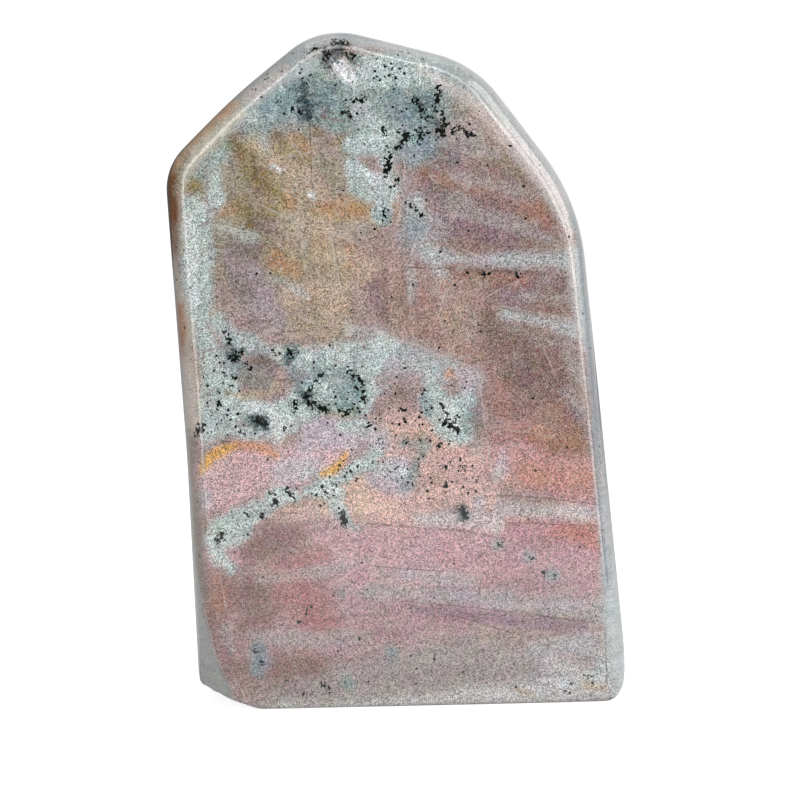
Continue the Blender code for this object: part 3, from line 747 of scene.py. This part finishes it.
def stroke_distance(places, strokes, depth_share):
    """Millimetres from each place to the nearest stroke, less its half width there."""
    face = -(FACE_AT_BASE - FACE_LEAN * places[:, 2])
    behind = (places[:, 1] - face) * depth_share
    nearest = np.full(len(places), FAR_AWAY)
    for stroke in strokes:
        ends = stroke[1:] if len(stroke) > 1 else stroke
        for (x0, z0, r0), (x1, z1, r1) in zip(stroke, ends):
            run = np.array((x1 - x0, z1 - z0))
            length = max(float(run @ run), NO_LENGTH)
            share = ((places[:, 0] - x0) * run[0] + (places[:, 2] - z0) * run[1]) / length
            share = np.clip(share, 0.0, 1.0)
            across = places[:, 0] - x0 - share * run[0]
            along = places[:, 2] - z0 - share * run[1]
            distance = np.sqrt(across**2 + along**2 + behind**2) - (r0 + (r1 - r0) * share)
            np.minimum(nearest, distance, out=nearest)
    return nearest


def break_skin(slab):
    """Sinks the skin where a crumb of the stone has broken out."""
    places = read_rows(slab.data.vertices, "co") / MM
    for index, (stroke, depth) in enumerate(BROKEN):
        near = stroke_distance(places, [stroke], BROKEN_DEPTH)
        sunk = slab.vertex_groups.new(name=f"sunk_{index}")
        for vertex in np.flatnonzero(near < BROKEN_RIM):
            share = (BROKEN_RIM - near[vertex]) / (2.0 * BROKEN_RIM)
            sunk.add([int(vertex)], float(np.clip(share, 0.0, 1.0)), "REPLACE")
        apply_modifier(slab, "DISPLACE", strength=-depth * MM, mid_level=0.0, vertex_group=sunk.name)


def lay_minerals_and_painted_light(slab):
    """Writes on the skin how far each of its points lies from each mineral and each painted highlight or
    shade, in millimetres.
    """
    places = read_rows(slab.data.vertices, "co") / MM
    turned = places * (1.0, -1.0, 1.0)
    behind = places[:, 1] + FACE_AT_BASE - FACE_LEAN * places[:, 2]
    slanted = places + np.outer(behind, (SLANT_X, 0.0, SLANT_Z))
    beyond = np.maximum(behind - SIDE_TURN, 0.0)
    sideways = places + np.outer(beyond, (0.0, 0.0, SLANT_Z))
    ripple = sum(np.sin(places[:, 2] / up + places[:, 1] / inwards) for up, inwards in RIPPLES)
    faded = beyond * (SIDE_FADE + SIDE_RIPPLE * ripple)

    def write(name, distance):
        """Keeps a distance on the mesh, where the material reads it."""
        layer = slab.data.attributes.new(name, "FLOAT", "POINT")
        layer.data.foreach_set("value", distance.astype(np.float32))

    def on_both_faces(front, back):
        """The distance to strokes on the front or to others on the back."""
        return np.minimum(
            stroke_distance(places, front, POCKET_DEPTH),
            stroke_distance(turned, back, POCKET_DEPTH),
        )

    for name, (*_, strokes) in BROAD.items():
        write(name, stroke_distance(slanted, strokes, 0.0))
    for name, (*_, strokes) in POCKETS.items():
        write(name, on_both_faces(strokes, BEHIND.get(name, ())))
    for name, (*_, strokes) in SIDES.items():
        write(name, stroke_distance(sideways, strokes, SIDE_DEPTH) + faded)
    spots = [[(*spot, width)] for width, found in DARK_SPOTS.items() for spot in found]
    write("dark", on_both_faces(DARK + spots, DARK_BEHIND))
    write("stain", stroke_distance(places, STAIN, POCKET_DEPTH))
    write("speckled", stroke_distance(places, SPECKLED, POCKET_DEPTH))


def new_node(tree, kind, **settings):
    """A node of a kind, with its own settings."""
    made = tree.nodes.new(kind)
    for name, value in settings.items():
        setattr(made, name, value)
    return made


def feed(tree, sockets, sources):
    """Links each source to the socket of its name or number, or writes it there where it is a plain value."""
    for name, source in sources.items():
        if isinstance(source, bpy.types.NodeSocket):
            tree.links.new(source, sockets[name])
        else:
            sockets[name].default_value = source


def maths(tree, operation, *values):
    """The result of one Math node."""
    made = new_node(tree, "ShaderNodeMath", operation=operation)
    feed(tree, made.inputs, dict(enumerate(values)))
    return made.outputs[0]


def vector_maths(tree, operation, first, second):
    """The result of one Vector Math node: a number for a product or a distance, or else a vector."""
    made = new_node(tree, "ShaderNodeVectorMath", operation=operation)
    other = "Scale" if operation == "SCALE" else 1
    feed(tree, made.inputs, {0: first, other: second})
    return made.outputs["Value" if operation in ("DOT_PRODUCT", "DISTANCE") else "Vector"]


def parts_of(tree, place):
    """The x, y and z of a place."""
    made = new_node(tree, "ShaderNodeSeparateXYZ")
    feed(tree, made.inputs, {0: place})
    return made.outputs


def blended(tree, share, ground, over, blend="MIX"):
    """One colour over another by a share."""
    made = new_node(tree, "ShaderNodeMix", data_type="RGBA", blend_type=blend)
    feed(tree, made.inputs, {"Factor": share, 6: ground, 7: over})
    return made.outputs[2]


def ramped(tree, value, low, high, at_low=0.0, at_high=1.0):
    """A value taken smoothly from one range to another."""
    made = new_node(tree, "ShaderNodeMapRange", interpolation_type="SMOOTHSTEP")
    feed(tree, made.inputs, dict(enumerate((value, low, high, at_low, at_high))))
    return made.outputs["Result"]


def noise(tree, place, period, detail=2.0, roughness=0.5):
    """Noise of a period in millimetres: a value from 0 to 1 and a colour."""
    made = new_node(tree, "ShaderNodeTexNoise")
    scale = 1.0 / (period * MM)
    feed(tree, made.inputs, {"Vector": place, "Scale": scale, "Detail": detail, "Roughness": roughness})
    return made.outputs["Fac"], made.outputs["Color"]


def swing(tree, place, period, detail=2.0, roughness=0.5):
    """The same noise's value about its middle."""
    return maths(tree, "SUBTRACT", noise(tree, place, period, detail, roughness)[0], NOISE_MIDDLE)


def crystals(tree, place, size):
    """A net of small crystals: three random lots for each, and how far a place is from its middle."""
    net = new_node(tree, "ShaderNodeTexVoronoi", feature="F1")
    feed(tree, net.inputs, {"Vector": place, "Scale": 1.0 / (size * MM)})
    lots = new_node(tree, "ShaderNodeSeparateColor")
    feed(tree, lots.inputs, {0: net.outputs["Color"]})
    return lots.outputs, net.outputs["Distance"]


def drawn_out(tree, place, turn, lengths):
    """A place turned round the line of sight and drawn out, so that noise of period 1 has these lengths."""
    turned = new_node(tree, "ShaderNodeVectorRotate", rotation_type="Y_AXIS")
    feed(tree, turned.inputs, {"Vector": place, "Angle": turn})
    return vector_maths(tree, "DIVIDE", turned.outputs[0], lengths)


def attribute(tree, name):
    """A distance that was written on the skin."""
    return new_node(tree, "ShaderNodeAttribute", attribute_name=name).outputs["Fac"]


def new_group(name, inputs, outputs):
    """An empty node group with sockets by their kinds and names, and its two end nodes."""
    tree = bpy.data.node_groups.new(name, "ShaderNodeTree")
    for way, sockets in (("INPUT", inputs), ("OUTPUT", outputs)):
        for kind, labels in sockets.items():
            for label in labels:
                tree.interface.new_socket(label, in_out=way, socket_type=f"NodeSocket{kind}")
    return tree, tree.nodes.new("NodeGroupInput").outputs, tree.nodes.new("NodeGroupOutput").inputs


def placed_group(tree, group, sources):
    """A group placed in a tree, with its named inputs fed. Returns its outputs."""
    made = new_node(tree, "ShaderNodeGroup", node_tree=group)
    feed(tree, made.inputs, sources)
    return made.outputs


def mineral_patch_group():
    """Lays one mineral, or a highlight or shade painted round the shoulder, over the ground up to an edge
    that wanders and crumbles.
    """
    numbers = ("Distance", "Strength", "Wander", "Crumble", "Softness", "Wander Noise", "Crumble Noise")
    inputs = {"Color": ("Ground", "Mineral"), "Float": numbers}
    tree, given, made = new_group("patch_of_mineral_or_painted_light", inputs, {"Color": ("Color",), "Float": ("Mask",)})
    edge = maths(tree, "MULTIPLY_ADD", given["Wander Noise"], given["Wander"], given["Distance"])
    edge = maths(tree, "MULTIPLY_ADD", given["Crumble Noise"], given["Crumble"], edge)
    inner = maths(tree, "MULTIPLY", given["Softness"], -1.0)
    mask = maths(tree, "MULTIPLY", ramped(tree, edge, inner, given["Softness"], 1.0, 0.0), given["Strength"])
    feed(tree, made, {"Color": blended(tree, mask, given["Ground"], given["Mineral"]), "Mask": mask})
    return tree


def seam_group():
    """The mask of one straight seam, a plane through the slab that shows as a thin line."""
    inputs = {"Vector": ("Place", "From", "To"), "Float": ("Half Width",)}
    tree, given, made = new_group("seam", inputs, {"Float": ("Mask",)})
    flat = vector_maths(tree, "MULTIPLY", given["Place"], (1.0, 0.0, 1.0))
    run = vector_maths(tree, "SUBTRACT", given["To"], given["From"])
    offset = vector_maths(tree, "SUBTRACT", flat, given["From"])
    reach = vector_maths(tree, "DOT_PRODUCT", offset, run)
    share = maths(tree, "DIVIDE", reach, vector_maths(tree, "DOT_PRODUCT", run, run))
    share.node.use_clamp = True
    distance = vector_maths(tree, "DISTANCE", offset, vector_maths(tree, "SCALE", run, share))
    inner, outer = (maths(tree, "MULTIPLY", given["Half Width"], edge) for edge in SEAM_EDGE)
    feed(tree, made, {"Mask": ramped(tree, distance, inner, outer, 1.0, 0.0)})
    return tree


def hairline_group():
    """Fine curved lines that run one way: where a drawn-out noise crosses its middle, fading in and out."""
    numbers = ("Turn", "Length", "Gap", "Width", "Fade", "Share")
    tree, given, made = new_group("hairlines", {"Vector": ("Place",), "Float": numbers}, {"Float": ("Mask",)})
    lengths = new_node(tree, "ShaderNodeCombineXYZ")
    feed(tree, lengths.inputs, {"X": given["Length"], "Y": given["Length"], "Z": given["Gap"]})
    drawn = drawn_out(tree, given["Place"], given["Turn"], lengths.outputs[0])
    off_middle = maths(tree, "ABSOLUTE", swing(tree, drawn, 1.0, detail=1.0))
    line = ramped(tree, off_middle, 0.0, given["Width"], 1.0, 0.0)
    covering = maths(tree, "MULTIPLY", given["Share"], HAIRLINE_SPREAD)
    least = maths(tree, "SUBTRACT", HAIRLINE_LEAST, covering)
    shown = ramped(tree, given["Fade"], least, maths(tree, "ADD", least, HAIRLINE_FADE))
    feed(tree, made, {"Mask": maths(tree, "MULTIPLY", line, shown)})
    return tree


def lay_patches(tree, wander, crumble):
    """Lays the minerals, and the highlights and shade painted round the shoulder, over the ground one by one.
    Returns the colour and each one's mask.
    """
    patch = mineral_patch_group()
    colour = GROUND
    masks = {}
    for name, (shade, strength, wandering, crumbling, softness, _) in {**BROAD, **POCKETS, **SIDES}.items():
        sources = {
            "Ground": colour,
            "Mineral": srgb(*shade),
            "Distance": attribute(tree, name),
            "Strength": strength,
            "Wander": wandering * EDGE_REACH,
            "Crumble": crumbling * EDGE_REACH,
            "Softness": softness,
            "Wander Noise": wander,
            "Crumble Noise": crumble,
        }
        laid = placed_group(tree, patch, sources)
        colour = laid["Color"]
        masks[name] = laid["Mask"]
    return colour, masks


def frost(tree, colour, masks, crumble):
    """Breaks the pale pockets up: white crumbs in them, and greener shade between the crumbs."""
    pale = maths(tree, "MULTIPLY_ADD", masks["grey_green"], GREEN_FROST, masks["ice"])
    for over, ramp in ((FROST, CRUMB_RAMP), (GREEN_SHADE, SHADE_RAMP)):
        share = maths(tree, "MULTIPLY", pale, ramped(tree, crumble, *ramp))
        colour = blended(tree, share, colour, over)
    return colour


def lay_grain(tree, place, height, plain, crumble, smooth):
    """Tints, clouds and grain, from place to place and crystal to crystal.

    Returns the colour, the slow noise of the tints and the grain's lots.
    """
    tint, tints = noise(tree, place, TINT_PERIOD)
    colour = blended(tree, TINT_SHARE, plain, tints, "LINEAR_LIGHT")
    level = maths(tree, "MULTIPLY_ADD", crumble, CLOUD_DEPTH, 1.0)
    lots, _ = crystals(tree, place, GRAIN_SIZE)
    salt = ramped(tree, lots[0], 0.0, 1.0, 1.0 - GRAIN_DEPTH, 1.0 + GRAIN_DEPTH)
    colour = blended(tree, 1.0, colour, maths(tree, "MULTIPLY", level, salt), "MULTIPLY")
    fleck, _ = noise(tree, place, *FLECKS)
    fleck = ramped(tree, fleck, *FLECK_RAMP)
    upper = ramped(tree, height, *FLECK_HEIGHT_RAMP)
    colour = blended(tree, maths(tree, "MULTIPLY", fleck, upper), colour, FLECK)
    colour = blended(tree, ramped(tree, lots[1], *CHALK_RAMP), colour, CHALK)
    colour = blended(tree, ramped(tree, lots[2], *UMBER_RAMP), colour, UMBER_GRAIN)
    return blended(tree, smooth, colour, plain), tint, lots


def lay_streaks(tree, place, height, colour):
    """Draws the minerals out: upright in the upper half, almost level in the lower one."""
    for lengths, tilt, low, high in STREAKS:
        drawn = drawn_out(tree, place, math.radians(tilt), lengths)
        swell = swing(tree, drawn, 1.0, roughness=STREAK_ROUGHNESS)
        here = ramped(tree, height, low, high, 0.0, STREAK_DEPTH)
        level = maths(tree, "MULTIPLY_ADD", swell, here, 1.0)
        colour = blended(tree, 1.0, colour, level, "MULTIPLY")
    return colour


def draw_seams(tree, place, colour, crumble):
    """Draws the named seams, broken here and there."""
    seam = seam_group()
    faint = maths(tree, "MULTIPLY", ramped(tree, crumble, *SEAM_BREAK_RAMP), SEAM_STRENGTH)
    for over, seams in SEAMS:
        drawn = 0.0
        for width, run in seams:
            for (x0, z0), (x1, z1) in zip(run, run[1:]):
                sources = {
                    "Place": place,
                    "From": (x0 * MM, 0.0, z0 * MM),
                    "To": (x1 * MM, 0.0, z1 * MM),
                    "Half Width": width * MM,
                }
                drawn = maths(tree, "MAXIMUM", drawn, placed_group(tree, seam, sources)["Mask"])
        colour = blended(tree, maths(tree, "MULTIPLY", drawn, faint), colour, over)
    return colour


def draw_hairlines(tree, place, height, colour, fade, shoulder):
    """Draws the fine scratches and cleavage lines that run all over, most of all in the upper half."""
    hairlines = hairline_group()
    upper = ramped(tree, height, *HAIRLINE_HEIGHT_RAMP)
    shown = maths(tree, "MULTIPLY", upper, maths(tree, "SUBTRACT", 1.0, shoulder))
    for turn, length, gap, width, share, over, strength in HAIRLINES:
        sources = {
            "Place": place,
            "Turn": math.radians(turn),
            "Length": length,
            "Gap": gap,
            "Width": width,
            "Fade": fade,
            "Share": share,
        }
        mask = maths(tree, "MULTIPLY", placed_group(tree, hairlines, sources)["Mask"], shown)
        colour = blended(tree, maths(tree, "MULTIPLY", mask, strength), colour, over)
    return colour


def draw_dark_minerals(tree, place, colour, crumble, grain):
    """Draws the stains under the surface, the dendrites and the specks. Returns the colour and their mask."""
    stain = maths(tree, "MULTIPLY_ADD", crumble, STAIN_CRUMBLE, attribute(tree, "stain"))
    colour = blended(tree, ramped(tree, stain, *STAIN_RAMP), colour, STAIN_COLOUR)
    spray = maths(tree, "MULTIPLY_ADD", grain[1], SPRAY_SCATTER, maths(tree, "ADD", stain, SPRAY_OFFSET))
    colour = blended(tree, ramped(tree, spray, *SPRAY_RAMP), colour, SPRAY_COLOUR)
    lots, middle = crystals(tree, place, CRYSTAL_SIZE)
    # A crystal within a stroke is dark or not by its own lot, so the edges are angular and broken.
    lot = maths(tree, "MULTIPLY_ADD", lots[0], DENDRITE_SCATTER, DENDRITE_OFFSET)
    dendrites = ramped(tree, maths(tree, "ADD", attribute(tree, "dark"), lot), *DENDRITE_RAMP)
    gathered = ramped(tree, attribute(tree, "speckled"), *SPECK_SHARE_RAMP)
    present = maths(tree, "LESS_THAN", lots[1], gathered)
    small = maths(tree, "LESS_THAN", middle, ramped(tree, lots[2], *SPECK_SIZE_RAMP))
    dark = maths(tree, "MAXIMUM", dendrites, maths(tree, "MULTIPLY", present, small))
    ink = blended(tree, ramped(tree, lots[2], *GREEN_RAMP), BLACK, BLACK_GREEN)
    return blended(tree, dark, colour, ink), dark


def saw_marks(tree, place, colour, sawn):
    """Greys the sawn base and draws the saw's shallow arcs on it."""
    moved = vector_maths(tree, "ADD", place, [length * MM for length in SAW_CENTRE])
    arcs = new_node(tree, "ShaderNodeTexWave", wave_type="RINGS", rings_direction="Z")
    scale = 1.0 / (SAW_PITCH * MM * 2.0 * math.pi)
    feed(tree, arcs.inputs, {"Vector": moved, "Scale": scale, "Distortion": SAW_WOBBLE})
    shade = blended(tree, arcs.outputs["Fac"], SAWN_DARK, SAWN_PALE)
    return blended(tree, maths(tree, "MULTIPLY", sawn, SAWN_GREY), colour, shade)


def new_material(name):
    """A new material, its nodes and its shader."""
    material = bpy.data.materials.new(name)
    material.use_nodes = True
    return material, material.node_tree, material.node_tree.nodes["Principled BSDF"]


def labradorite():
    """Polished feldspar: rose and grey ground, pale pockets, gold patches, dark dendrites and fine seams,
    with highlights and shade painted round the shoulder and painted light along the foot.
    """
    material, tree, shader = new_material("polished_labradorite")
    place = new_node(tree, "ShaderNodeTexCoord").outputs["Object"]
    # Heights are read in millimetres.
    height = maths(tree, "DIVIDE", parts_of(tree, place)["Z"], MM)
    sawn = ramped(tree, height, *SAWN_HEIGHTS, 1.0, 0.0)
    wander, crumble = (swing(tree, place, *kind) for kind in (WANDER, CRUMBLE))
    colour, masks = lay_patches(tree, wander, crumble)
    colour = frost(tree, colour, masks, crumble)
    shoulder = 0.0
    for name in SIDES:
        shoulder = maths(tree, "MAXIMUM", shoulder, masks[name])
    smooth = maths(tree, "MULTIPLY", shoulder, SHOULDER_SMOOTHNESS)
    colour, tint, grain = lay_grain(tree, place, height, colour, crumble, smooth)
    colour = lay_streaks(tree, place, height, colour)
    colour = draw_seams(tree, place, colour, crumble)
    colour = draw_hairlines(tree, place, height, colour, tint, shoulder)
    colour, dark = draw_dark_minerals(tree, place, colour, crumble, grain)
    colour = saw_marks(tree, place, colour, sawn)

    dull = maths(tree, "MAXIMUM", maths(tree, "MULTIPLY", dark, DARK_DULLNESS), masks["white"])
    rough = maths(tree, "MULTIPLY", sawn, SAWN_ROUGHNESS)
    bump = new_node(tree, "ShaderNodeBump")
    feed(tree, bump.inputs, {"Height": wander, "Strength": UNEVENNESS, "Distance": UNEVEN_HEIGHT})
    finish = {
        "Base Color": colour,
        "Roughness": maths(tree, "MAXIMUM", ramped(tree, dull, *POLISH_RAMP), rough),
        "IOR": STONE_IOR,
        "Coat Weight": maths(tree, "SUBTRACT", 1.0, sawn),
        "Coat Roughness": COAT_ROUGHNESS,
        "Normal": bump.outputs[0],
    }
    feed(tree, shader.inputs, finish)
    for index, item in enumerate(tree.nodes):
        row, column = divmod(index, NODES_IN_ROW)
        item.location = (column * NODE_STEP[0], row * NODE_STEP[1])
    return material


def pale_floor():
    """A plain pale floor, far wider than the view, that glows a little so that it meets the backdrop."""
    bpy.ops.mesh.primitive_plane_add(size=FLOOR_WIDTH, location=(0.0, 0.0, 0.0))
    floor = bpy.context.active_object
    floor.name = "floor"
    material, tree, shader = new_material("pale_floor")
    seen = new_node(tree, "ShaderNodeLightPath").outputs["Is Camera Ray"]
    finish = {
        "Base Color": FLOOR_COLOUR,
        "Roughness": FLOOR_ROUGHNESS,
        "Emission Color": WHITE,
        "Emission Strength": maths(tree, "MULTIPLY", seen, FLOOR_GLOW),
    }
    feed(tree, shader.inputs, finish)
    floor.data.materials.append(material)


def turned_to(right, back):
    """The turn of a lamp or a camera by the ways its right side and its back point."""
    return Matrix((right, back.cross(right), back)).transposed()


def softbox(name, off_axis, round_axis, width, height, radiance):
    """A soft box by its angle off the front's line and its angle round it, from the right over the top."""
    outwards = Vector((math.cos(round_axis), 0.0, math.sin(round_axis)))
    away = outwards * math.sin(off_axis) - Vector((0.0, math.cos(off_axis), 0.0))
    data = bpy.data.lights.new(name, "AREA")
    data.shape = "RECTANGLE"
    data.size = width
    data.size_y = height
    data.energy = radiance * math.pi * width * height
    turned = turned_to(away.cross(outwards).normalized(), away)
    where = Matrix.Translation(SLAB_MIDDLE + away * LIGHT_REACH)
    new_object(name, data).matrix_world = where @ turned.to_4x4()


def white_room():
    """The room: to the camera a white backdrop, to the stone dim in front and brighter behind."""
    world = bpy.data.worlds.new("white_room")
    bpy.context.scene.world = world
    world.use_nodes = True
    tree = world.node_tree
    ways = parts_of(tree, new_node(tree, "ShaderNodeTexCoord").outputs["Generated"])
    slant = maths(tree, "MULTIPLY_ADD", ways["Z"], ROOM_SLANT, ways["X"])
    left = ramped(tree, slant, *ROOM_LEFT_RAMP)
    light = maths(tree, "MULTIPLY", ramped(tree, ways["Y"], *ROOM_DEPTH_RAMP), left)
    shown = new_node(tree, "ShaderNodeMix")
    seen = new_node(tree, "ShaderNodeLightPath").outputs["Is Camera Ray"]
    feed(tree, shown.inputs, {0: seen, 2: light, 3: BACKDROP_LIGHT})
    feed(tree, tree.nodes["Background"].inputs, {"Color": WHITE, "Strength": shown.outputs[0]})


def studio():
    """An arch of soft boxes round the camera, three larger ones, and a white room."""
    first, last = ARCH_SPAN
    step = (last - first) / ARCH_BOXES
    length = step * math.sin(ARCH_OFF_AXIS) * LIGHT_REACH
    for index in range(ARCH_BOXES):
        round_axis = first + step * (index + 0.5)
        softbox(f"arch_{index}", ARCH_OFF_AXIS, round_axis, length, ARCH_WIDTH * LIGHT_REACH, ARCH_RADIANCE)
    for name, (off_axis, round_axis, width, height, radiance) in BOXES.items():
        softbox(name, math.radians(off_axis), math.radians(round_axis), width, height, radiance)
    white_room()


def camera():
    """The photograph's view."""
    sideways = Matrix.Rotation(CAMERA_AZIMUTH, 3, "Z")
    back = sideways @ Matrix.Rotation(-CAMERA_ELEVATION, 3, "X") @ Vector((0.0, -1.0, 0.0))
    right = Vector((0.0, 0.0, 1.0)).cross(back).normalized()
    turned = turned_to(right, back) @ Matrix.Rotation(CAMERA_ROLL, 3, "Z")
    data = bpy.data.cameras.new("camera")
    data.lens = CAMERA_LENS
    data.sensor_width = SENSOR_WIDTH
    view = new_object("camera", data)
    view.matrix_world = Matrix.Translation(CAMERA_TARGET + back * CAMERA_DISTANCE) @ turned.to_4x4()
    bpy.context.scene.camera = view


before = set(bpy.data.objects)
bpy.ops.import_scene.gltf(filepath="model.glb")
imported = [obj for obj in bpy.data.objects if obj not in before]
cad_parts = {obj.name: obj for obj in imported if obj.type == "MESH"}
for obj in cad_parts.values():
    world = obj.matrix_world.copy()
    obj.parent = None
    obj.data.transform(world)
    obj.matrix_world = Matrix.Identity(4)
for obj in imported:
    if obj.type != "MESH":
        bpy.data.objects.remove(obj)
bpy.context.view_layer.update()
bpy.context.scene.view_settings.view_transform = "Standard"
stone = ground_slab(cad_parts["labradorite_stone"])
lay_minerals_and_painted_light(stone)
break_skin(stone)
stone.data.materials.clear()
stone.data.materials.append(labradorite())
stone.data.shade_smooth()
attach(stone, "root")
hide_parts("labradorite_stone")
pale_floor()
studio()
camera()
